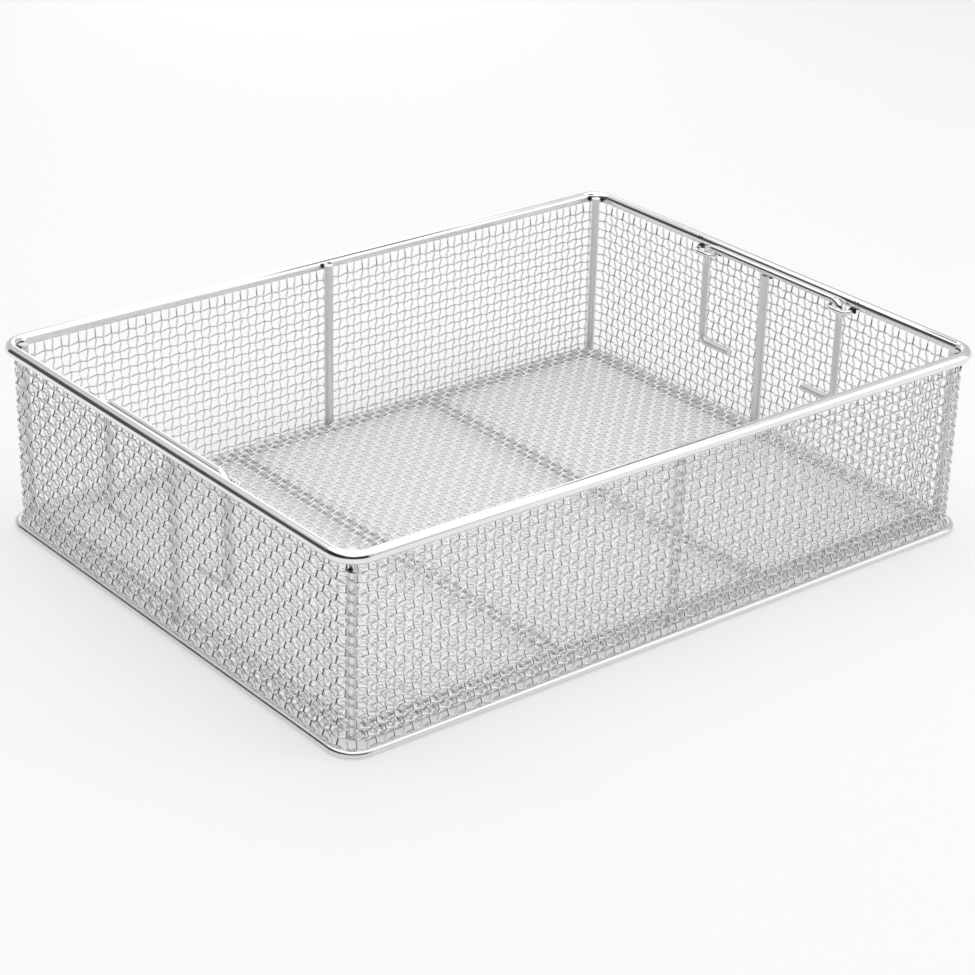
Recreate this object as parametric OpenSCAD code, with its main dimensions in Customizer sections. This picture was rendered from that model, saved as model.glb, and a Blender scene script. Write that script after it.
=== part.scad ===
// Autoclave basket: a rectangular woven-wire tray with two lifting handles.
// X runs along the long walls, Y along the short walls and Z is up.
// The origin lies on the ground under the middle of the basket.

/* [Basket] */
// Outer length, over the bottom frame
basket_l = 400; // [300:1:600]
// Outer width, over the bottom frame
basket_w = 302; // [240:1:450]
// Overall height, from the ground to the top of the rim
basket_h = 102.5; // [85:0.5:200]
// Corner radius of the walls, on the mesh's middle plane
corner_r = 10; // [8:0.5:25]

/* [Rim and bottom frame] */
// Diameter of the rim's rod
rim_d = 6.4; // [5.4:0.1:9]
// How far the rim's axis stands outside the walls' middle plane
rim_out = 2; // [1.2:0.1:2.6]
// Diameter of the bottom frame's rod
frame_d = 4; // [3:0.1:6]

/* [Mesh] */
// Thickness of a mesh bar, across its wall
bar_t = 1; // [0.8:0.1:1.4]
// Width of a mesh bar, in the plane of its wall
bar_w = 3; // [2:0.1:4]
// How far a crimped bar swings to each side of the straight bars' plane
crimp = 0.7; // [0.5:0.05:0.8]
// Number of gaps along the front wall and the back wall
long_wall_columns = 22; // [10:2:24]
// Number of gaps along each end wall
end_wall_columns = 16; // [8:2:24]
// Number of gaps up a wall
wall_rows = 5; // [3:1:8]
// Number of gaps along the floor
floor_columns = 10; // [4:2:14]
// Number of gaps across the floor
floor_rows = 12; // [4:2:14]
// Gap between the edge of the floor mesh and the walls
floor_gap = 1.5; // [0.5:0.1:3]

/* [Posts and floor strips] */
// Diameter of the upright posts inside the walls
post_d = 5; // [3.5:0.5:7]
// How far the posts beside the rim reach above the rim's axis
post_rise = 1; // [0:0.1:2]
// Thickness of the flat strips under the floor
strip_t = 1.5; // [1:0.1:2]
// Width of the strips that carry the floor's edges
edge_strip_w = 13; // [8:0.5:20]
// Width of the strips that cross under the floor
cross_strip_w = 12; // [8:0.5:20]
// Distance between the middles of the two cross strips
cross_spacing = 130; // [60:1:180]
// Height of the floor strips' underside above the ground
floor_rise = 4.8; // [4:0.1:10]

/* [Handles] */
// Diameter of the handles' rod
handle_d = 4; // [3:0.1:5]
// Width of a handle, between the axes of its legs
handle_w = 104; // [80:1:150]
// Height of a handle, from the axis of its bar to the axis of its feet
handle_h = 56.7; // [40:0.1:70]
// Length of a foot, from the outer side of its leg to its tip
foot_l = 25; // [15:0.5:34]
// How far each handle stands to the left of its wall's middle, seen from outside
handle_shift = 5; // [0:0.5:12]
// Bend radius of the handles' rod, on its axis
handle_bend = 5.5; // [4:0.5:6]
// Clearance between a handle's rod and the wall beside it
handle_gap = 0.4; // [0.3:0.05:0.8]

/* [Handle guides] */
// Diameter of a guide's wire
guide_d = 2.5; // [1.5:0.1:3]
// Width of a guide, between the axes of its arms
guide_w = 14; // [11:0.5:18]
// Bend radius of a guide's wire, on its axis
guide_bend = 4; // [2:0.5:5]
// Clearance between a handle's leg and the nose of its guide
guide_gap = 0.5; // [0.3:0.05:1]
// Clearance under a handle's bar where it rests on its guides
seat_gap = 0.07; // [0.05:0.01:0.2]

/* [Hidden] */
$fn = 48;

polished = "#c9ccd0";
satin = "#b3b7bb";
wire_grey = "#9da1a6";

// Small space that keeps welded neighbours from cutting into each other
weld_gap = 0.05;

// The mesh is as thick as a straight bar with a crimped bar swinging round it
mesh_t = bar_t + 2 * crimp;

// Middle plane of the walls, just inside the bottom frame
wall_x = basket_l / 2 - frame_d - mesh_t / 2;
wall_y = basket_w / 2 - frame_d - mesh_t / 2;
inner_x = wall_x - mesh_t / 2;
inner_y = wall_y - mesh_t / 2;

// Rim and bottom frame follow the same corners as the walls
rim_x = wall_x + rim_out;
rim_y = wall_y + rim_out;
rim_z = basket_h - rim_d / 2;
rim_inner_x = rim_x - rim_d / 2;
rim_inner_y = rim_y - rim_d / 2;
frame_out = mesh_t / 2 + frame_d / 2;

// The wall mesh stands between the bottom frame's axis and the rim's underside
mesh_z0 = frame_d / 2;
mesh_z1 = rim_z - rim_d / 2;

// Levels of the floor
strip_top_z = floor_rise + strip_t;
floor_z = strip_top_z + mesh_t / 2;
floor_x = inner_x - floor_gap;
floor_y = inner_y - floor_gap;

// Handles hang beside the rim or the mesh, whichever reaches further in
handle_x = min(rim_inner_x, inner_x) - handle_gap - handle_d / 2;
guide_z = rim_z - handle_d / 2 - seat_gap - guide_d / 2;
guide_nose_x = handle_x - handle_d / 2 - guide_gap - guide_d / 2;
// The arms of a guide end where their upper side meets the rim
guide_drop = rim_z - guide_z - guide_d / 2;
guide_end_x = rim_x - sqrt(pow(rim_d / 2, 2) - pow(guide_drop, 2)) - weld_gap;

// Centres of the corner bends
corner_cx = wall_x - corner_r;
corner_cy = wall_y - corner_r;

// Posts stand against the rim or the mesh, whichever reaches further in. Only the straight
// bars of the mesh pass behind the corner posts, which are placed from the bend's centre.
post_reach = post_d / 2 + weld_gap;
post_x = min(rim_inner_x, inner_x) - post_reach;
post_y = min(rim_inner_y, inner_y) - post_reach;
corner_post_r = corner_r + min(rim_out - rim_d / 2, -bar_t / 2) - post_reach;
// Posts that pass no handle are welded to the rim's side, the others stop below the bar
post_top_z = rim_z + post_rise;
post_under_bar_z = rim_z - handle_d / 2 - handle_gap;

// Positions that divide a span from -half to half into equal gaps
function stations(half, gaps) = [for (i = [0 : gaps]) -half + 2 * half * i / gaps];
function inner_stations(half, gaps) = [for (i = [1 : gaps - 1]) -half + 2 * half * i / gaps];
// +1 and -1 by turns
function swing(i) = i % 2 == 0 ? 1 : -1;

wall_bars_x = stations(corner_cx, long_wall_columns);
wall_bars_y = stations(corner_cy, end_wall_columns);
wall_levels = [for (i = [0 : wall_rows]) mesh_z0 + (mesh_z1 - mesh_z0) * i / wall_rows];
floor_bars_x = inner_stations(floor_x, floor_columns);
floor_bars_y = inner_stations(floor_y, floor_rows);
floor_stations_y = stations(floor_y, floor_rows);

// Quarter bend of a round rod, from +X to +Y about the origin
module rod_bend(r, d) {
    rotate_extrude(angle = 90) translate([r, 0]) circle(d = d);
}

// Closed rod that follows a rounded rectangle, given by the half sizes of its axis
module rod_ring(half_x, half_y, r, d) {
    for (side = [0, 180]) rotate([0, 0, side]) {
        translate([half_x, 0, 0]) rotate([90, 0, 0])
            cylinder(d = d, h = 2 * (half_y - r), center = true);
        translate([0, half_y, 0]) rotate([0, 90, 0])
            cylinder(d = d, h = 2 * (half_x - r), center = true);
        translate([half_x - r, half_y - r, 0]) rod_bend(r, d);
        translate([-half_x + r, half_y - r, 0]) rotate([0, 0, 90]) rod_bend(r, d);
    }
}

// Straight mesh bar of a wall that faces +X. Its two ends follow the corner bends as far as
// the middle of each corner, where the next panel begins.
module wall_rail(wall, half_y) {
    translate([wall - bar_t / 2, -half_y, -bar_w / 2]) cube([bar_t, 2 * half_y, bar_w]);
    for (turn = [0, 1]) mirror([0, turn, 0])
        translate([wall - corner_r, half_y, 0])
            rotate_extrude(angle = 45 - atan(weld_gap / corner_r))
                translate([corner_r - bar_t / 2, -bar_w / 2]) square([bar_t, bar_w]);
}

// Crimped bar: it passes the straight bars at its stations on one side and the other by turns.
// The stations lie along Y, the swing is along X and the bar's width is along Z.
module crimped_bar(at, side) {
    last = len(at) - 1;
    near = [for (i = [0 : last]) [side * swing(i) * crimp - bar_t / 2, at[i]]];
    far = [for (i = [last : -1 : 0]) [side * swing(i) * crimp + bar_t / 2, at[i]]];
    linear_extrude(bar_w, center = true) polygon(concat(near, far));
}

// Mesh panel of the wall that faces +X after a turn about Z
module wall_panel(turn, wall, half_y, positions) {
    color(wire_grey) difference() {
        rotate([0, 0, turn]) {
            for (i = [1 : wall_rows - 1]) translate([0, 0, wall_levels[i]])
                wall_rail(wall, half_y);
            for (i = [0 : len(positions) - 1])
                translate([wall, positions[i], 0]) rotate([90, 0, 0])
                    crimped_bar(wall_levels, swing(i));
        }
        guide_arm_holes();
    }
}

// The side posts stand in notches at the floor's edge
module floor_mesh() {
    color(wire_grey) translate([0, 0, floor_z]) difference() {
        union() {
            for (y = floor_bars_y) translate([0, y, 0])
                cube([2 * floor_x, bar_w, bar_t], center = true);
            for (i = [0 : len(floor_bars_x) - 1]) translate([floor_bars_x[i], 0, 0])
                rotate([0, 90, 0]) crimped_bar(floor_stations_y, swing(i));
        }
        for (at = [[post_x, 0], [-post_x, 0], [0, post_y], [0, -post_y]]) translate(at)
            cylinder(r = post_reach, h = 2 * mesh_t, center = true);
    }
}

module top_rim() {
    color(polished) translate([0, 0, rim_z]) rod_ring(rim_x, rim_y, corner_r + rim_out, rim_d);
}

module bottom_frame() {
    color(polished) translate([0, 0, frame_d / 2])
        rod_ring(wall_x + frame_out, wall_y + frame_out, corner_r + frame_out, frame_d);
}

// Flat strip under the floor, given by its middle and its sizes
module flat_strip(x, y, len_x, len_y) {
    color(satin) translate([x, y, floor_rise + strip_t / 2])
        cube([len_x, len_y, strip_t], center = true);
}

// The long edge strips run from wall to wall and end in the corner bends
module floor_strip_long(side) {
    y = side * (inner_y - edge_strip_w / 2);
    flat_strip(0, y, 2 * corner_cx, edge_strip_w);
}

module floor_strip_short(side) {
    x = side * (inner_x - edge_strip_w / 2);
    flat_strip(x, 0, edge_strip_w, 2 * (inner_y - edge_strip_w - weld_gap));
}

module cross_strip(side) {
    flat_strip(side * cross_spacing / 2, 0, cross_strip_w, 2 * (inner_y - edge_strip_w - weld_gap));
}

// Upright post on the floor strips, given by its axis and its top
module post(x, y, top_z) {
    base_z = strip_top_z + weld_gap;
    color(satin) translate([x, y, base_z]) cylinder(d = post_d, h = top_z - base_z);
}

module corner_post(sx, sy) {
    along = corner_post_r * sqrt(0.5);
    post(sx * (corner_cx + along), sy * (corner_cy + along), post_top_z);
}

// Half of a handle in the XY plane: X along the wall, Y up, the bar's axis on Y = 0
module half_bail() {
    leg_x = handle_w / 2;
    bend_x = leg_x - handle_bend;
    rotate([0, 90, 0]) cylinder(d = handle_d, h = bend_x);
    translate([bend_x, -handle_bend, 0]) rod_bend(handle_bend, handle_d);
    translate([leg_x, -handle_bend, 0]) rotate([90, 0, 0])
        cylinder(d = handle_d, h = handle_h - 2 * handle_bend);
    translate([bend_x, handle_bend - handle_h, 0]) rotate([0, 0, -90])
        rod_bend(handle_bend, handle_d);
    translate([bend_x, -handle_h, 0]) rotate([0, -90, 0])
        cylinder(d = handle_d, h = foot_l - handle_d / 2 - handle_bend);
}

// Handle of the wall that faces +X after a turn about Z
module handle(turn) {
    color(polished) rotate([0, 0, turn]) translate([handle_x, -handle_shift, rim_z])
        rotate([90, 0, 90]) {
            half_bail();
            mirror([1, 0, 0]) half_bail();
        }
}

// Wire guide round one leg: a nose along the wall with two arms that end at the rim
module guide(turn, leg) {
    arm_x = guide_nose_x + guide_bend;
    nose = guide_w - 2 * guide_bend;
    color(polished) rotate([0, 0, turn])
        translate([0, leg * handle_w / 2 - handle_shift, guide_z]) {
            translate([guide_nose_x, 0, 0]) rotate([90, 0, 0])
                cylinder(d = guide_d, h = nose, center = true);
            for (side = [0, 1]) mirror([0, side, 0]) {
                translate([arm_x, nose / 2, 0]) rotate([0, 0, 90]) rod_bend(guide_bend, guide_d);
                translate([arm_x, guide_w / 2, 0]) rotate([0, 90, 0])
                    cylinder(d = guide_d, h = guide_end_x - arm_x);
            }
        }
}

// Room for the guides' arms where they pass the top of the wall mesh
module guide_arm_holes() {
    for (turn = [0, 180], leg = [-1, 1], arm = [-1, 1]) {
        arm_y = leg * handle_w / 2 - handle_shift + arm * guide_w / 2;
        rotate([0, 0, turn]) translate([guide_nose_x, arm_y, guide_z]) rotate([0, 90, 0])
            cylinder(d = guide_d + 2 * weld_gap, h = 2 * mesh_t + rim_d);
    }
}

top_rim();
bottom_frame();
floor_mesh();
wall_panel(-90, wall_y, corner_cx, wall_bars_x);  // wall_mesh_front
wall_panel(90, wall_y, corner_cx, wall_bars_x);  // wall_mesh_back
wall_panel(180, wall_x, corner_cy, wall_bars_y);  // wall_mesh_left
wall_panel(0, wall_x, corner_cy, wall_bars_y);  // wall_mesh_right
floor_strip_long(-1);  // floor_strip_front
floor_strip_long(1);  // floor_strip_back
floor_strip_short(-1);  // floor_strip_left
floor_strip_short(1);  // floor_strip_right
cross_strip(-1);  // cross_strip_left
cross_strip(1);  // cross_strip_right
corner_post(-1, -1);  // corner_strip_front_left
corner_post(1, -1);  // corner_strip_front_right
corner_post(-1, 1);  // corner_strip_back_left
corner_post(1, 1);  // corner_strip_back_right
post(0, -post_y, post_top_z);  // side_strip_front
post(0, post_y, post_top_z);  // side_strip_back
post(-post_x, 0, post_under_bar_z);  // side_strip_left
post(post_x, 0, post_under_bar_z);  // side_strip_right
handle(180);  // handle_left
handle(0);  // handle_right
guide(180, 1);  // guide_left_front
guide(180, -1);  // guide_left_back
guide(0, -1);  // guide_right_front
guide(0, 1);  // guide_right_back
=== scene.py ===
import math

import bmesh
import bpy
import numpy as np
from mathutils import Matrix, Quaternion, Vector, noise


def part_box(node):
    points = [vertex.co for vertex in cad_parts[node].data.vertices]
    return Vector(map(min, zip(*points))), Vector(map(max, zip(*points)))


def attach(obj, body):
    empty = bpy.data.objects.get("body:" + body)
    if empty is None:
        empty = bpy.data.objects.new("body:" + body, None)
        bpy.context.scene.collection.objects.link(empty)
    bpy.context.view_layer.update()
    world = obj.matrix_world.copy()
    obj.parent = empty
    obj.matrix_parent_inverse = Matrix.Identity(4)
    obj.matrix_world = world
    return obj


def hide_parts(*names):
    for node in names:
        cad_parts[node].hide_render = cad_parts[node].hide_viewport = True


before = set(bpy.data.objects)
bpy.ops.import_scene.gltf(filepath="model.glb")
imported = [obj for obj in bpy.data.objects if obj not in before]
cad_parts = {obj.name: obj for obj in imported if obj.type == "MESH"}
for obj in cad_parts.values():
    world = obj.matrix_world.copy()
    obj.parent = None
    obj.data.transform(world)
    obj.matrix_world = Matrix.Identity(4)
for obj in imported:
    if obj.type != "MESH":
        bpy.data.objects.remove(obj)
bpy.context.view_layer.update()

MM = 0.001
BASKET = "basket"
WALLS = ("wall_mesh_front", "wall_mesh_back", "wall_mesh_left", "wall_mesh_right")

# ---------------------------------------------------------------- sizes, in millimetres

WIRE_D = 1.1                # mesh wire
WIRE_SIDES = 6
CRIMP = 0.65                # swing of a wire to each side of the mesh's middle plane
CREST = 0.2                 # half length of a crest, as a share of the pitch
CREST_SIDE = 0.9            # swing at the ends of a crest, as a share of the full swing
SLOPE_SHADING = 1.9         # how many times steeper a wire is shaded than it runs

MESH_HALF = 1.2             # half the thickness of the CAD walls' mesh
CORNER_R = 10.0             # bend of the walls, on the mesh's middle plane
RIM_BEND = 12.0             # bend of the rim, on its axis

HOOPS = 18                  # wires that run round the walls
HOOP_PITCH = 5.2
HOOP_LIFT = 0.5             # from the mesh's lower edge up to the lowest hoop
UPRIGHT_PITCH = 5.0         # about, because a whole number of uprights goes round the walls
UPRIGHT_FOOT = 0.6          # how far the uprights reach below the mesh's lower edge
UPRIGHT_TOP = (-1.6, 0.2)   # heights of an upright's last two points, from the mesh's upper edge
FLOOR_PITCH = 5.0           # about, because a whole number of gaps fills the floor
END_STRETCH = 8.0           # length at a floor wire's end that is drawn in where a post is near
POST_GAP = 0.3              # between the end of a floor wire and a post

WANDER = 0.22               # how far a wire strays from its even place
FEWEST_DRAWS = 4            # random draws along a wire
HOOP_DRAWS = (100, 40)      # seed of the first wire, and points of the wire for one draw
UPRIGHT_DRAWS = (1000, 14)
FLOOR_DRAWS = ((2000, 30), (3000, 30))

EDGE_ROUND = 0.3            # on the sharp edges of the posts, strips and handles
EDGE_SEGMENTS = 2
EDGE_ANGLE = 50             # degrees from which an edge counts as sharp


def mm_box(node):
    """Lowest and highest corner of a CAD node, in millimetres."""
    lo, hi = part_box(node)
    return np.array(lo) / MM, np.array(hi) / MM


# ---------------------------------------------------------------- places read from the frame

wall_lo, wall_hi = mm_box("wall_mesh_front")
side_hi = mm_box("wall_mesh_right")[1]
rim_lo, rim_hi = mm_box("top_rim")
strip_hi = mm_box("floor_strip_front")[1]
floor_hi = mm_box("floor_mesh")[1]

WALL_Y = -(wall_lo[1] + MESH_HALF)              # middle plane of the front and back walls
WALL_X = side_hi[0] - MESH_HALF                 # middle plane of the end walls
MESH_Z0, MESH_Z1 = wall_lo[2], wall_hi[2]
HOOP_Z0 = MESH_Z0 + HOOP_LIFT
RIM_D = rim_hi[2] - rim_lo[2]
RIM_Z = (rim_hi[2] + rim_lo[2]) / 2
RIM_X, RIM_Y = rim_hi[0] - RIM_D / 2, rim_hi[1] - RIM_D / 2
FLOOR_Z = strip_hi[2] + WIRE_D / 2 + CRIMP
FLOOR_X, FLOOR_Y = floor_hi[0], floor_hi[1]

POST_NODES = [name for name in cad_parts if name.startswith(("corner_strip", "side_strip"))]
POST_BOXES = [mm_box(name) for name in POST_NODES]
POST_AXES = [(lo[:2] + hi[:2]) / 2 for lo, hi in POST_BOXES]
POST_R = (POST_BOXES[0][1][0] - POST_BOXES[0][0][0]) / 2


# ---------------------------------------------------------------- objects

def link_object(name, data):
    """A new object in the scene, of the given mesh, lamp or camera."""
    obj = bpy.data.objects.new(name, data)
    bpy.context.scene.collection.objects.link(obj)
    return obj


def mesh_object(name, verts, quads, normals):
    """A smooth object from arrays of points in millimetres, quads and the points' normals."""
    mesh = bpy.data.meshes.new(name)
    mesh.vertices.add(len(verts))
    mesh.vertices.foreach_set("co", (verts * MM).astype(np.float32).ravel())
    mesh.loops.add(quads.size)
    mesh.loops.foreach_set("vertex_index", quads.astype(np.int32).ravel())
    mesh.polygons.add(len(quads))
    starts = np.arange(len(quads), dtype=np.int32) * quads.shape[1]
    mesh.polygons.foreach_set("loop_start", starts)
    mesh.update(calc_edges=True)
    mesh.polygons.foreach_set("use_smooth", np.full(len(quads), True))
    mesh.normals_split_custom_set_from_vertices(normals)
    return link_object(name, mesh)


def card(name, width, height):
    """A flat rectangle round the origin, in metres."""
    w, h = width / 2, height / 2
    mesh = bpy.data.meshes.new(name)
    mesh.from_pydata([(-w, -h, 0), (w, -h, 0), (w, h, 0), (-w, h, 0)], [], [(0, 1, 2, 3)])
    return link_object(name, mesh)


def look(obj, at, target, roll=0.0):
    """Puts an object at a place in metres and turns it to face a target, rolled in degrees."""
    obj.location = at
    obj.rotation_mode = "QUATERNION"
    way = (Vector(target) - Vector(at)).to_track_quat("-Z", "Y")
    obj.rotation_quaternion = way @ Quaternion((0, 0, 1), math.radians(roll))


def soften_edges(obj):
    """A small round on the sharp edges of a CAD solid."""
    bevel = obj.modifiers.new("edge_round", "BEVEL")
    bevel.width = EDGE_ROUND * MM
    bevel.segments = EDGE_SEGMENTS
    bevel.limit_method = "ANGLE"
    bevel.angle_limit = math.radians(EDGE_ANGLE)


def dress(obj, mat):
    """Gives an object one material in every slot."""
    if not obj.data.materials:
        obj.data.materials.append(mat)
    for slot in obj.material_slots:
        slot.material = mat


# ---------------------------------------------------------------- crimped wires
#
# A wire's points come in threes, one before, on and after each crest, and the wire is straight
# between the threes. Arrays of lines and directions are (wire, point, 3).

# Corners, on the ring of six points, of the two quads that close a wire's first and last end
FIRST_END = ([0, 5, 4, 3], [0, 3, 2, 1])
LAST_END = ([0, 1, 2, 3], [0, 3, 4, 5])


def unit(vectors):
    """The same directions, with the length 1."""
    return vectors / np.linalg.norm(vectors, axis=-1, keepdims=True)


def crest_steps(gaps, closed=False):
    """Positions along a wire, in pitches, with the swing there from -1 to 1."""
    k = np.arange(gaps if closed else gaps + 1)
    s = (k[:, None] + np.array([-CREST, 0.0, CREST])).ravel()
    turn = np.where(k % 2 == 0, 1.0, -1.0)
    swing = (turn[:, None] * np.array([CREST_SIDE, 1.0, CREST_SIDE])).ravel()
    return s, swing


def stray(points, seed, points_a_draw):
    """How far a wire strays at its points: seeded noise that changes slowly along the wire."""
    draws = max(FEWEST_DRAWS, int(points / points_a_draw))
    values = np.random.default_rng(seed).normal(size=draws)
    at = np.linspace(0, draws - 1, points)
    i = np.minimum(at.astype(int), draws - 2)
    f = at - i
    f = f * f * (3 - 2 * f)
    return WANDER * (values[i] * (1 - f) + values[i + 1] * f)


def wire_directions(lines, first_part, closed):
    """The way each wire runs at its points. The outer points of a three take the way of the
    straight stretch beside them. first_part is the place of the first point in its three."""
    ahead, behind = np.roll(lines, -1, axis=1), np.roll(lines, 1, axis=1)
    if not closed:
        ahead[:, -1], behind[:, 0] = lines[:, -1], lines[:, 0]
    part = ((np.arange(lines.shape[1]) + first_part) % 3)[:, None]
    along = np.where(part == 0, lines - behind, ahead - behind)
    along = np.where(part == 2, ahead - lines, along)
    if not closed:
        along[:, 0], along[:, -1] = lines[:, 1] - lines[:, 0], lines[:, -1] - lines[:, -2]
    return along


def steepen(along, lines, closed):
    """The wires' directions, turned further off the wires' course to bring out the crests."""
    if closed:
        course = unit(np.roll(lines, -3, axis=1) - np.roll(lines, 3, axis=1))
    else:
        course = unit(np.broadcast_to(lines[:, -1:] - lines[:, :1], lines.shape))
    onward = np.sum(along * course, axis=2, keepdims=True) * course
    return unit(onward + SLOPE_SHADING * (along - onward))


def wire_rings(along, across):
    """Rings of unit vectors square to the wires' directions. across is square to each wire in the
    mesh's plane."""
    out = unit(np.cross(along, across))
    side = np.cross(out, along)
    turn = np.arange(WIRE_SIDES) * 2 * math.pi / WIRE_SIDES
    return np.cos(turn)[:, None] * side[:, :, None, :] + np.sin(turn)[:, None] * out[:, :, None, :]


def wire_quads(wires, steps, closed):
    """Quads between a wire's neighbouring rings, and two that close each end of an open wire."""
    index = np.arange(wires * steps * WIRE_SIDES).reshape(wires, steps, WIRE_SIDES)
    near = index if closed else index[:, :-1]
    far = np.roll(index, -1, axis=1) if closed else index[:, 1:]
    quads = np.stack([near, np.roll(near, -1, axis=2), np.roll(far, -1, axis=2), far], axis=-1)
    quads = quads.reshape(-1, 4)
    if closed:
        return quads
    ends = [index[:, 0][:, corners] for corners in FIRST_END]
    ends += [index[:, -1][:, corners] for corners in LAST_END]
    return np.concatenate([quads] + ends)


def wire_object(name, lines, across, first_part=0, closed=False):
    """One object of round wires. Its rings and normals stand square to the steeper directions."""
    lines, across = np.array(lines), np.array(across)
    along = steepen(wire_directions(lines, first_part, closed), lines, closed)
    rings = wire_rings(along, across)
    points = lines[:, :, None, :] + WIRE_D / 2 * rings
    quads = wire_quads(lines.shape[0], lines.shape[1], closed)
    return mesh_object(name, points.reshape(-1, 3), quads, rings.reshape(-1, 3))


# ---------------------------------------------------------------- the woven walls

FLAT_X, FLAT_Y = WALL_X - CORNER_R, WALL_Y - CORNER_R       # half lengths of the flat stretches
BEND = math.pi * CORNER_R / 2
ROUND = 4 * (FLAT_X + FLAT_Y) + 4 * BEND                    # length once round the walls
UPRIGHTS = 2 * round(ROUND / UPRIGHT_PITCH / 2)
UPRIGHT_STEP = ROUND / UPRIGHTS
AT_JOINT = 1e-9                                             # slack where two stretches meet

# The walls' middle plane from the middle of the front and to the right, seen from outside: where a
# flat stretch starts and which way it runs, or a bend's centre and first angle, then the length
STRETCHES = [
    ("flat", (0, -WALL_Y), (1, 0), FLAT_X),
    ("bend", (FLAT_X, -FLAT_Y), -90, BEND),
    ("flat", (WALL_X, -FLAT_Y), (0, 1), 2 * FLAT_Y),
    ("bend", (FLAT_X, FLAT_Y), 0, BEND),
    ("flat", (FLAT_X, WALL_Y), (-1, 0), 2 * FLAT_X),
    ("bend", (-FLAT_X, FLAT_Y), 90, BEND),
    ("flat", (-WALL_X, FLAT_Y), (0, -1), 2 * FLAT_Y),
    ("bend", (-FLAT_X, -FLAT_Y), 180, BEND),
    ("flat", (-FLAT_X, -WALL_Y), (1, 0), FLAT_X),
]


def band_path(u):
    """Points and outward directions at the lengths u along the walls' middle plane."""
    u = np.mod(u, ROUND)
    pos = np.zeros(u.shape + (2,))
    out = np.zeros(u.shape + (2,))
    start = 0.0
    for kind, origin, way, length in STRETCHES:
        here = (u >= start - AT_JOINT) & (u <= start + length + AT_JOINT)
        t = u[here] - start
        if kind == "flat":
            pos[here] = np.array(origin) + t[:, None] * np.array(way)
            out[here] = (way[1], -way[0])
        else:
            a = np.radians(way) + t / CORNER_R
            out[here] = np.stack([np.cos(a), np.sin(a)], axis=-1)
            pos[here] = np.array(origin) + CORNER_R * out[here]
        start += length
    return pos, out


def wall_hoops():
    """Wires that run round all four walls, bent at the corners."""
    s, swing = crest_steps(UPRIGHTS, closed=True)
    pos, out = band_path(s * UPRIGHT_STEP)
    seed, points_a_draw = HOOP_DRAWS
    lines, across = [], []
    for j in range(HOOPS):
        side = 1 if j % 2 else -1
        flat = pos + (side * swing * CRIMP)[:, None] * out
        z = HOOP_Z0 + j * HOOP_PITCH + stray(len(s), seed + j, points_a_draw)
        lines.append(np.column_stack([flat, z]))
        across.append(np.tile([0.0, 0.0, 1.0], (len(s), 1)))
    return wire_object("wall_hoop_wires", lines, across, closed=True)


def wall_uprights():
    """Upright wires of all four walls, from the bottom frame to the underside of the rim."""
    s, swing = crest_steps(HOOPS - 1)
    z = HOOP_Z0 + s * HOOP_PITCH
    z[0] = MESH_Z0 - UPRIGHT_FOOT
    z = np.concatenate([z, MESH_Z1 + np.array(UPRIGHT_TOP)])
    swing = np.concatenate([swing, np.zeros(len(UPRIGHT_TOP))])
    seed, points_a_draw = UPRIGHT_DRAWS
    lines, across = [], []
    for i, (pos, out) in enumerate(zip(*band_path(np.arange(UPRIGHTS) * UPRIGHT_STEP))):
        side = -1 if i % 2 else 1
        along = np.array([-out[1], out[0]])
        slow = stray(len(z), seed + i, points_a_draw)
        flat = pos + (side * swing * CRIMP)[:, None] * out + slow[:, None] * along
        lines.append(np.column_stack([flat, z]))
        across.append(np.tile([along[0], along[1], 0.0], (len(z), 1)))
    return wire_object("wall_upright_wires", lines, across)


# ---------------------------------------------------------------- the woven floor

def wire_end(off, axis, sign):
    """How far a floor wire at the offset off runs to one end: to the wall, or short of a post."""
    reach = (FLOOR_X, FLOOR_Y)[axis]
    for at in POST_AXES:
        beside = abs(at[1 - axis] - off) < POST_R + WIRE_D / 2 + 2 * WANDER
        if beside and at[axis] * sign > 0:
            reach = min(reach, abs(at[axis]) - POST_R - POST_GAP)
    return reach


def shorten(at, half, off, axis):
    """Draws the ends of a wire in, so that it stops short of the posts."""
    knee = half - END_STRETCH
    at = at.copy()
    for sign in (-1, 1):
        far = sign * at > knee
        share = (wire_end(off, axis, sign) - knee) / (half - knee)
        at[far] = sign * (knee + (sign * at[far] - knee) * share)
    return at


def floor_wires(name, half_along, half_across, axis):
    """One set of the floor's wires, along X for axis 0 and along Y for axis 1. They start and end
    on a crest's middle point."""
    gaps_along = 2 * round(half_along / FLOOR_PITCH) + 1
    gaps_across = 2 * round(half_across / FLOOR_PITCH) + 1
    s, swing = crest_steps(gaps_along)
    s, swing = s[1:-1], swing[1:-1]
    at = -half_along + s * (2 * half_along / gaps_along)
    seed, points_a_draw = FLOOR_DRAWS[axis]
    lines, across = [], []
    for i in range(1, gaps_across):
        off = -half_across + 2 * half_across * i / gaps_across
        side = 1 if i % 2 != axis else -1
        wire = np.empty((len(at), 3))
        wire[:, axis] = shorten(at, half_along, off, axis)
        wire[:, 1 - axis] = off + stray(len(at), seed + i, points_a_draw)
        wire[:, 2] = FLOOR_Z + side * swing * CRIMP
        lines.append(wire)
        across.append(np.tile(np.eye(3)[1 - axis], (len(at), 1)))
    return wire_object(name, lines, across, first_part=1)


# ---------------------------------------------------------------- welds, in millimetres
#
# A bead's place is its centre, and its size is its half sizes along X, Y and Z.

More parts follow.
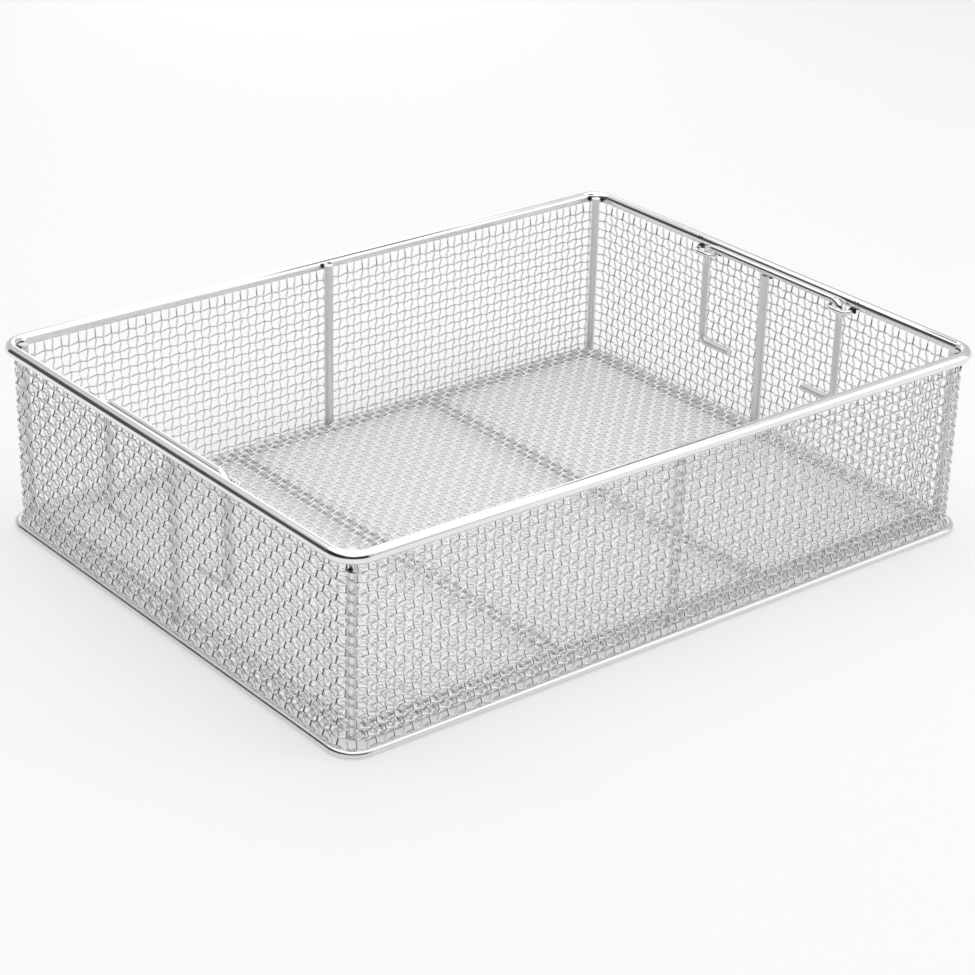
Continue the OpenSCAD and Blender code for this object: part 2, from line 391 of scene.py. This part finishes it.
GUIDE_WIRE_R = 1.25         # from a guide's end along Y to the axis of its arm
ARM_BEADS = [               # at each arm: in from the guide's end, outward along Y, up, and the size
    (0.3, 0.0, 1.1, (1.2, 1.9, 1.1)),
    (0.9, 1.7, 0.3, (1.0, 0.8, 1.2)),
    (0.9, -1.7, 0.6, (1.0, 0.6, 0.8)),
]
RIM_BEAD = (0.9, 0.5, 0.8)
RIM_BEAD_STEPS = (0.6, 2.8)     # along Y from the guide's outer arm
RIM_BEAD_OUT = 0.1              # beyond the guide's end
RIM_BEAD_UP = 1.7               # above the rim's axis

POST_BEAD_ASIDE = 2.3           # along the wall from the post's axis
POST_BEAD_IN = 0.35             # from the rim's inner side
LONG_WALL_BEAD = (1.1, 0.8, 1.4)
LONG_WALL_DROP = 0.7            # below the post's top
END_WALL_BEAD = (0.8, 1.1, 1.3)
END_WALL_DROP = 0.9

CORNER_BEAD = (1.1, 1.1, 1.3)
CORNER_BEAD_IN = 0.45           # from the rim's inner side
CORNER_TURNS = (20, 70)         # degrees round the bend, of the two beads at the rim
CORNER_DROP = 0.9               # below the post's top
LOW_BEAD_TURN = 45              # the bead on the post, lower down
LOW_BEAD_OUT = 1.25             # further out than the two at the rim
LOW_BEAD_DROP = 4.2             # below the rim

BEAD_SUBDIVISIONS = 3
LUMP_SIZE = 0.22                # as a share of a bead's size
LUMP_SCALE = 1.7
LUMP_SHIFT = 3.1                # between the noise of one bead and the next


def guide_beads(lo, hi, sx, sy):
    """Beads round both arms of a wire guide, and two on the rim beside its outer arm."""
    mid = (lo + hi) / 2
    end_x = max(abs(lo[0]), abs(hi[0]))
    places = []
    for y in (lo[1] + GUIDE_WIRE_R, hi[1] - GUIDE_WIRE_R):
        away = math.copysign(1, y - mid[1])
        for inward, aside, up, size in ARM_BEADS:
            places.append(((sx * (end_x - inward), y + away * aside, mid[2] + up), size))
    outer = lo[1] + GUIDE_WIRE_R if sy < 0 else hi[1] - GUIDE_WIRE_R
    for step in RIM_BEAD_STEPS:
        centre = (sx * (end_x + RIM_BEAD_OUT), outer + sy * step, RIM_Z + RIM_BEAD_UP)
        places.append((centre, RIM_BEAD))
    return places


def long_wall_beads(top, sy):
    """A bead on each side of the post in the middle of the front or back wall."""
    y = sy * (RIM_Y - RIM_D / 2 - POST_BEAD_IN)
    return [((x, y, top - LONG_WALL_DROP), LONG_WALL_BEAD) for x in (-POST_BEAD_ASIDE, POST_BEAD_ASIDE)]


def end_wall_beads(top, sx):
    """A bead on each side of the post in the middle of an end wall."""
    x = sx * (RIM_X - RIM_D / 2 - POST_BEAD_IN)
    return [((x, y, top - END_WALL_DROP), END_WALL_BEAD) for y in (-POST_BEAD_ASIDE, POST_BEAD_ASIDE)]


def corner_beads(top, sx, sy):
    """Two beads at the rim beside a corner post, and one lower down on it."""
    reach = RIM_BEND - RIM_D / 2 - CORNER_BEAD_IN
    beads = [(turn, reach, top - CORNER_DROP) for turn in CORNER_TURNS]
    beads.append((LOW_BEAD_TURN, reach + LOW_BEAD_OUT, RIM_Z - RIM_D / 2 - LOW_BEAD_DROP))
    places = []
    for turn, far, z in beads:
        x = sx * (RIM_X - RIM_BEND) + sx * far * math.cos(math.radians(turn))
        y = sy * (RIM_Y - RIM_BEND) + sy * far * math.sin(math.radians(turn))
        places.append(((x, y, z), CORNER_BEAD))
    return places


def bead_places():
    """Centre and size of every weld bead."""
    places = []
    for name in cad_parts:
        lo, hi = mm_box(name)
        sx, sy = [math.copysign(1, middle) for middle in (lo + hi)[:2]]
        if name.startswith("guide"):
            places += guide_beads(lo, hi, sx, sy)
        elif name in ("side_strip_front", "side_strip_back"):
            places += long_wall_beads(hi[2], sy)
        elif name in ("side_strip_left", "side_strip_right"):
            places += end_wall_beads(hi[2], sx)
        elif name.startswith("corner_strip"):
            places += corner_beads(hi[2], sx, sy)
    return places


def weld_beads():
    """Small uneven beads of weld metal where the posts and the guides' arms meet the rim."""
    bm = bmesh.new()
    for i, (centre, size) in enumerate(bead_places()):
        ball = bmesh.ops.create_icosphere(bm, subdivisions=BEAD_SUBDIVISIONS, radius=1.0)
        shift = Vector((LUMP_SHIFT * i, 0, 0))
        for v in ball["verts"]:
            lump = 1 + LUMP_SIZE * noise.noise(v.co * LUMP_SCALE + shift)
            v.co = Vector([(c + h * n * lump) * MM for c, h, n in zip(centre, size, v.co)])
    mesh = bpy.data.meshes.new("weld_beads")
    bm.to_mesh(mesh)
    bm.free()
    mesh.polygons.foreach_set("use_smooth", [True] * len(mesh.polygons))
    return link_object("weld_beads", mesh)


# ---------------------------------------------------------------- shader nodes

def grey(level):
    """A plain grey, with its alpha."""
    return (level, level, level, 1)


def feed(links, value, socket):
    """Links a socket to another one, or sets it to a number."""
    if isinstance(value, bpy.types.NodeSocket):
        links.new(value, socket)
    else:
        socket.default_value = value


def math_node(nodes, links, operation, first, second):
    """The result of an operation on two sockets or numbers."""
    node = nodes.new("ShaderNodeMath")
    node.operation = operation
    feed(links, first, node.inputs[0])
    feed(links, second, node.inputs[1])
    return node.outputs["Value"]


def map_range(nodes, links, value, source, target, soft=False):
    """A value taken from one range to another and held at its ends."""
    node = nodes.new("ShaderNodeMapRange")
    if soft:
        node.interpolation_type = "SMOOTHSTEP"
    links.new(value, node.inputs["Value"])
    node.inputs["From Min"].default_value, node.inputs["From Max"].default_value = source
    node.inputs["To Min"].default_value, node.inputs["To Max"].default_value = target
    return node.outputs["Result"]


def noise_texture(nodes, links, vector, scale, detail):
    """Soft cloudy noise from 0 to 1."""
    node = nodes.new("ShaderNodeTexNoise")
    node.inputs["Scale"].default_value = scale
    node.inputs["Detail"].default_value = detail
    links.new(vector, node.inputs["Vector"])
    return node.outputs["Fac"]


def colour_ramp(nodes, links, value, stops):
    """A colour by a value. stops are places and colours, in order."""
    node = nodes.new("ShaderNodeValToRGB")
    elements = node.color_ramp.elements
    elements[0].position, elements[0].color = stops[0]
    elements[1].position, elements[1].color = stops[-1]
    for place, colour in stops[1:-1]:
        elements.new(place).color = colour
    links.new(value, node.inputs["Fac"])
    return node.outputs["Color"]


def add_bump(nodes, links, bsdf, height, strength, distance):
    """Gives a shader the relief of a height. distance is in metres."""
    node = nodes.new("ShaderNodeBump")
    node.inputs["Strength"].default_value = strength
    node.inputs["Distance"].default_value = distance
    links.new(height, node.inputs["Height"])
    links.new(node.outputs["Normal"], bsdf.inputs["Normal"])


def object_place(nodes):
    """Where a point is on its object, in metres."""
    return nodes.new("ShaderNodeTexCoord").outputs["Object"]


# ---------------------------------------------------------------- materials

STEEL_TINT = (0.93, 1.04)       # darkest and brightest cloud, as shares of the steel's colour
CLOUD_DETAIL = 5
CLOUD_RANGE = (0.3, 0.7)        # of the cloud noise, from the smoothest to the roughest steel
GRAIN_SCALE = 14                # grains for one cloud
GRAIN_DETAIL = 3
GRAIN_HEIGHT = 0.0002           # metres

POLISH_ENDS = (12, 4)           # millimetres under the rim's axis: full dullness, and none
LEG_DULLNESS = 0.3              # added roughness of the handles' legs and feet

WELD_METALLIC = 0.85
WELD_ROUGHNESS = 0.35
WELD_SCALE = 900
WELD_DETAIL = 4
# greys of the weld's patches by the noise, from near black to mid grey
WELD_PATCH_GREYS = [(0.5, (0.015, 0.014, 0.013, 1)), (0.8, (0.3, 0.29, 0.28, 1))]
WELD_BUMP = 0.4
WELD_BUMP_HEIGHT = 0.0003       # metres


def new_material(name):
    """A material with its nodes, its links and its main shader."""
    mat = bpy.data.materials.new(name)
    mat.use_nodes = True
    nodes = mat.node_tree.nodes
    return mat, nodes, mat.node_tree.links, nodes["Principled BSDF"]


def steel(name, level, rough, grain, scale):
    """Stainless steel: colour and roughness change softly, and a fine grain is bump.
    level is the grey of its colour, and rough its lowest and highest roughness."""
    mat, nodes, links, bsdf = new_material(name)
    bsdf.inputs["Metallic"].default_value = 1.0
    place = object_place(nodes)
    cloud = noise_texture(nodes, links, place, scale, CLOUD_DETAIL)
    colour = nodes.new("ShaderNodeVectorMath")
    colour.operation = "SCALE"
    colour.inputs[0].default_value = grey(level)[:3]
    links.new(map_range(nodes, links, cloud, (0, 1), STEEL_TINT), colour.inputs["Scale"])
    links.new(colour.outputs["Vector"], bsdf.inputs["Base Color"])
    links.new(map_range(nodes, links, cloud, CLOUD_RANGE, rough), bsdf.inputs["Roughness"])
    fine = noise_texture(nodes, links, place, scale * GRAIN_SCALE, GRAIN_DETAIL)
    add_bump(nodes, links, bsdf, fine, grain, GRAIN_HEIGHT)
    return mat


def handle_steel():
    """The handles' rod: polished along the bar beside the rim, satin down the legs and feet."""
    mat = steel("handle_steel", level=0.86, rough=(0.1, 0.18), grain=0.05, scale=60)
    nodes, links = mat.node_tree.nodes, mat.node_tree.links
    roughness = nodes["Principled BSDF"].inputs["Roughness"]
    polished = roughness.links[0].from_socket
    split = nodes.new("ShaderNodeSeparateXYZ")
    links.new(object_place(nodes), split.inputs["Vector"])
    heights = [(RIM_Z - drop) * MM for drop in POLISH_ENDS]
    dullness = map_range(nodes, links, split.outputs["Z"], heights, (LEG_DULLNESS, 0))
    links.new(math_node(nodes, links, "ADD", polished, dullness), roughness)
    return mat


def weld_metal():
    """Weld metal in patches, from near black to mid grey."""
    mat, nodes, links, bsdf = new_material("weld_metal")
    bsdf.inputs["Metallic"].default_value = WELD_METALLIC
    bsdf.inputs["Roughness"].default_value = WELD_ROUGHNESS
    cloud = noise_texture(nodes, links, object_place(nodes), WELD_SCALE, WELD_DETAIL)
    links.new(colour_ramp(nodes, links, cloud, WELD_PATCH_GREYS), bsdf.inputs["Base Color"])
    add_bump(nodes, links, bsdf, cloud, WELD_BUMP, WELD_BUMP_HEIGHT)
    return mat


# ---------------------------------------------------------------- camera

CAMERA_AT = (-802.31, -984.65, 631.17)      # millimetres
CAMERA_AIM = (28.40, 35.78, 0.0)
CAMERA_LENS = 100.468
CAMERA_SENSOR = 36
CAMERA_ROLL = 1.428                         # degrees
CAMERA_CLIP = (0.05, 50)                    # metres


def make_camera():
    """The photograph's camera, at the place fitted to the basket's edges."""
    data = bpy.data.cameras.new("camera")
    data.lens = CAMERA_LENS
    data.sensor_width = CAMERA_SENSOR
    data.clip_start, data.clip_end = CAMERA_CLIP
    camera = link_object("camera", data)
    look(camera, Vector(CAMERA_AT) * MM, Vector(CAMERA_AIM) * MM, CAMERA_ROLL)
    bpy.context.scene.camera = camera


# ---------------------------------------------------------------- stage and light, in metres

FLOOR_SIZE = 16.0
FLOOR_LEVEL = 0.94
FLOOR_ROUGHNESS = 0.8
FLOOR_SPECULAR = 0.2
FLOOR_GLOW = 0.44           # share of plain white that the camera and the steel see in the floor

SOFT_BOXES = [              # name, place, target, size and radiance
    ("overhead_softbox", (-0.1, -0.1, 1.25), (-0.1, -0.1, 0), (2.2, 2.4), 0.66),
    ("right_softbox", (1.25, -1.1, 0.75), (0, 0, 0.1), (1.1, 1.2), 0.66),
    ("back_softbox", (0.54, 0.92, 0.4), (0, 0, 0.1), (0.5, 0.75), 0.62),
]
FLAGS = [                   # name, place, target, size and grey
    ("left_flag", (-0.66, 0.60, 0.27), (-0.06, 0.06, 0.27), (0.5, 0.55), 0.08),
    ("top_flag", (0.22, 0.02, 0.37), (0.22, 0.02, 0), (0.15, 0.15), 0.22),
]
FLAG_ROUGHNESS = 0.9

# Greys of the room by the sine of the height
ROOM_LEVELS = [
    (0.0, 0.75), (0.1, 0.7), (0.25, 0.66), (0.42, 0.6),
    (0.56, 0.66), (0.66, 0.76), (0.75, 0.8), (1.0, 0.8),
]
# The room's dark side, in two parts: middle and half width in degrees from +Y towards +X, then the
# sines of the heights between which it ends
DARK_PARTS = [(-72, 37, 0.6, 0.8), (-145, 50, 0.5, 0.68)]
DARK_EDGE = 7               # half width of the dark side's soft edge, in degrees
DARK_LEVEL = 0.03


def make_floor():
    """White paper. The camera and the steel see a share of plain white in it."""
    floor = card("studio_floor", FLOOR_SIZE, FLOOR_SIZE)
    mat, nodes, links, bsdf = new_material("floor_paper")
    bsdf.inputs["Base Color"].default_value = grey(FLOOR_LEVEL)
    bsdf.inputs["Roughness"].default_value = FLOOR_ROUGHNESS
    bsdf.inputs["Specular IOR Level"].default_value = FLOOR_SPECULAR
    ray = nodes.new("ShaderNodeLightPath").outputs
    seen = math_node(nodes, links, "ADD", ray["Is Camera Ray"], ray["Is Glossy Ray"])
    seen = math_node(nodes, links, "ADD", seen, ray["Is Transmission Ray"])
    mix = nodes.new("ShaderNodeMixShader")
    links.new(math_node(nodes, links, "MULTIPLY", seen, FLOOR_GLOW), mix.inputs["Fac"])
    links.new(bsdf.outputs["BSDF"], mix.inputs[1])
    links.new(nodes.new("ShaderNodeEmission").outputs["Emission"], mix.inputs[2])
    links.new(mix.outputs["Shader"], nodes["Material Output"].inputs["Surface"])
    dress(floor, mat)


def level_heading(nodes, links, direction):
    """The level part of a direction, as a unit vector."""
    flat = nodes.new("ShaderNodeVectorMath")
    flat.operation = "MULTIPLY"
    flat.inputs[1].default_value = (1, 1, 0)
    links.new(direction, flat.inputs[0])
    heading = nodes.new("ShaderNodeVectorMath")
    heading.operation = "NORMALIZE"
    links.new(flat.outputs["Vector"], heading.inputs[0])
    return heading.outputs["Vector"]


def darkness(nodes, links, heading, height, part):
    """How far a direction lies in one part of the room's dark side, from 0 to 1."""
    middle, half, low, high = part
    way = math.radians(middle)
    facing = nodes.new("ShaderNodeVectorMath")
    facing.operation = "DOT_PRODUCT"
    facing.inputs[1].default_value = (math.sin(way), math.cos(way), 0)
    links.new(heading, facing.inputs[0])
    edges = [math.cos(math.radians(half + step)) for step in (DARK_EDGE, -DARK_EDGE)]
    beside = map_range(nodes, links, facing.outputs["Value"], edges, (0, 1), soft=True)
    under = map_range(nodes, links, height, (low, high), (1, 0), soft=True)
    return math_node(nodes, links, "MULTIPLY", beside, under)


def make_world():
    """A pale room by height, with its dark, open side behind and to the left of the camera."""
    world = bpy.data.worlds.new("studio_world")
    bpy.context.scene.world = world
    world.use_nodes = True
    nodes, links = world.node_tree.nodes, world.node_tree.links
    direction = nodes.new("ShaderNodeTexCoord").outputs["Generated"]
    split = nodes.new("ShaderNodeSeparateXYZ")
    links.new(direction, split.inputs["Vector"])
    height = split.outputs["Z"]
    heading = level_heading(nodes, links, direction)
    dark = [darkness(nodes, links, heading, height, part) for part in DARK_PARTS]
    pale = colour_ramp(nodes, links, height, [(place, grey(level)) for place, level in ROOM_LEVELS])
    mix = nodes.new("ShaderNodeMix")
    mix.data_type = "RGBA"
    mix.inputs["B"].default_value = grey(DARK_LEVEL)
    links.new(math_node(nodes, links, "MAXIMUM", *dark), mix.inputs["Factor"])
    links.new(pale, mix.inputs["A"])
    background = nodes["Background"]
    links.new(mix.outputs["Result"], background.inputs["Color"])
    links.new(background.outputs["Background"], nodes["World Output"].inputs["Surface"])


def soft_box(name, at, target, size, radiance):
    """An area lamp. Its power follows from its size, so that its face has the given radiance."""
    data = bpy.data.lights.new(name, "AREA")
    data.shape = "RECTANGLE"
    data.size, data.size_y = size
    data.energy = radiance * math.pi * size[0] * size[1]
    lamp = link_object(name, data)
    lamp.visible_camera = False
    look(lamp, at, target)


def flag(name, at, target, size, level):
    """A dark card that gives the steel its dark reflection lines. The camera doesn't see it."""
    dark_card = card(name, *size)
    look(dark_card, at, target)
    dark_card.visible_camera = False
    dark_card.visible_diffuse = False
    dark_card.visible_shadow = False
    mat, _, _, bsdf = new_material(name)
    bsdf.inputs["Base Color"].default_value = grey(level)
    bsdf.inputs["Roughness"].default_value = FLAG_ROUGHNESS
    dress(dark_card, mat)


def make_lights():
    """Three soft boxes round the basket, and two dark cards beside it."""
    for values in SOFT_BOXES:
        soft_box(*values)
    for values in FLAGS:
        flag(*values)


# ---------------------------------------------------------------- putting it together

bpy.context.scene.view_settings.view_transform = "Standard"
make_camera()
make_floor()
make_world()
make_lights()

polished = steel("polished_steel", level=0.86, rough=(0.08, 0.17), grain=0.04, scale=40)
satin = steel("satin_steel", level=0.85, rough=(0.26, 0.4), grain=0.1, scale=60)
brushed = steel("brushed_steel", level=0.8, rough=(0.2, 0.32), grain=0.08, scale=60)
bright = steel("guide_steel", level=0.93, rough=(0.08, 0.16), grain=0.04, scale=60)
wire = steel("wire_steel", level=0.9, rough=(0.05, 0.13), grain=0.04, scale=80)
# The hoops' wire is the same steel as the uprights' and the floor's, painted darker: painted shade that
# stands in for the dark reflections along the wires that run round the walls
hoop_wire_painted_shade = steel("hoop_wire_steel_painted_shade", level=0.81, rough=(0.05, 0.13), grain=0.04, scale=80)
handle_rod = handle_steel()
weld = weld_metal()

for name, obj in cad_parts.items():
    if "strip" in name:
        dress(obj, satin)
        soften_edges(obj)
    elif name == "bottom_frame":
        dress(obj, brushed)
    elif name.startswith("guide"):
        dress(obj, bright)
    elif name.startswith("handle"):
        dress(obj, handle_rod)
        soften_edges(obj)
    else:
        dress(obj, polished)

hoops = wall_hoops()
uprights = wall_uprights()
floor_x = floor_wires("floor_long_wires", FLOOR_X, FLOOR_Y, axis=0)
floor_y = floor_wires("floor_cross_wires", FLOOR_Y, FLOOR_X, axis=1)
beads = weld_beads()
# the hoops take the copy of the wire steel with painted shade
for obj, steel_wire in ((hoops, hoop_wire_painted_shade), (uprights, wire), (floor_x, wire), (floor_y, wire)):
    dress(obj, steel_wire)
    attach(obj, BASKET)
dress(beads, weld)
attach(beads, BASKET)
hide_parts(*WALLS)
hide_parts(*WALLS)
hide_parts("floor_mesh")
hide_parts("floor_mesh")
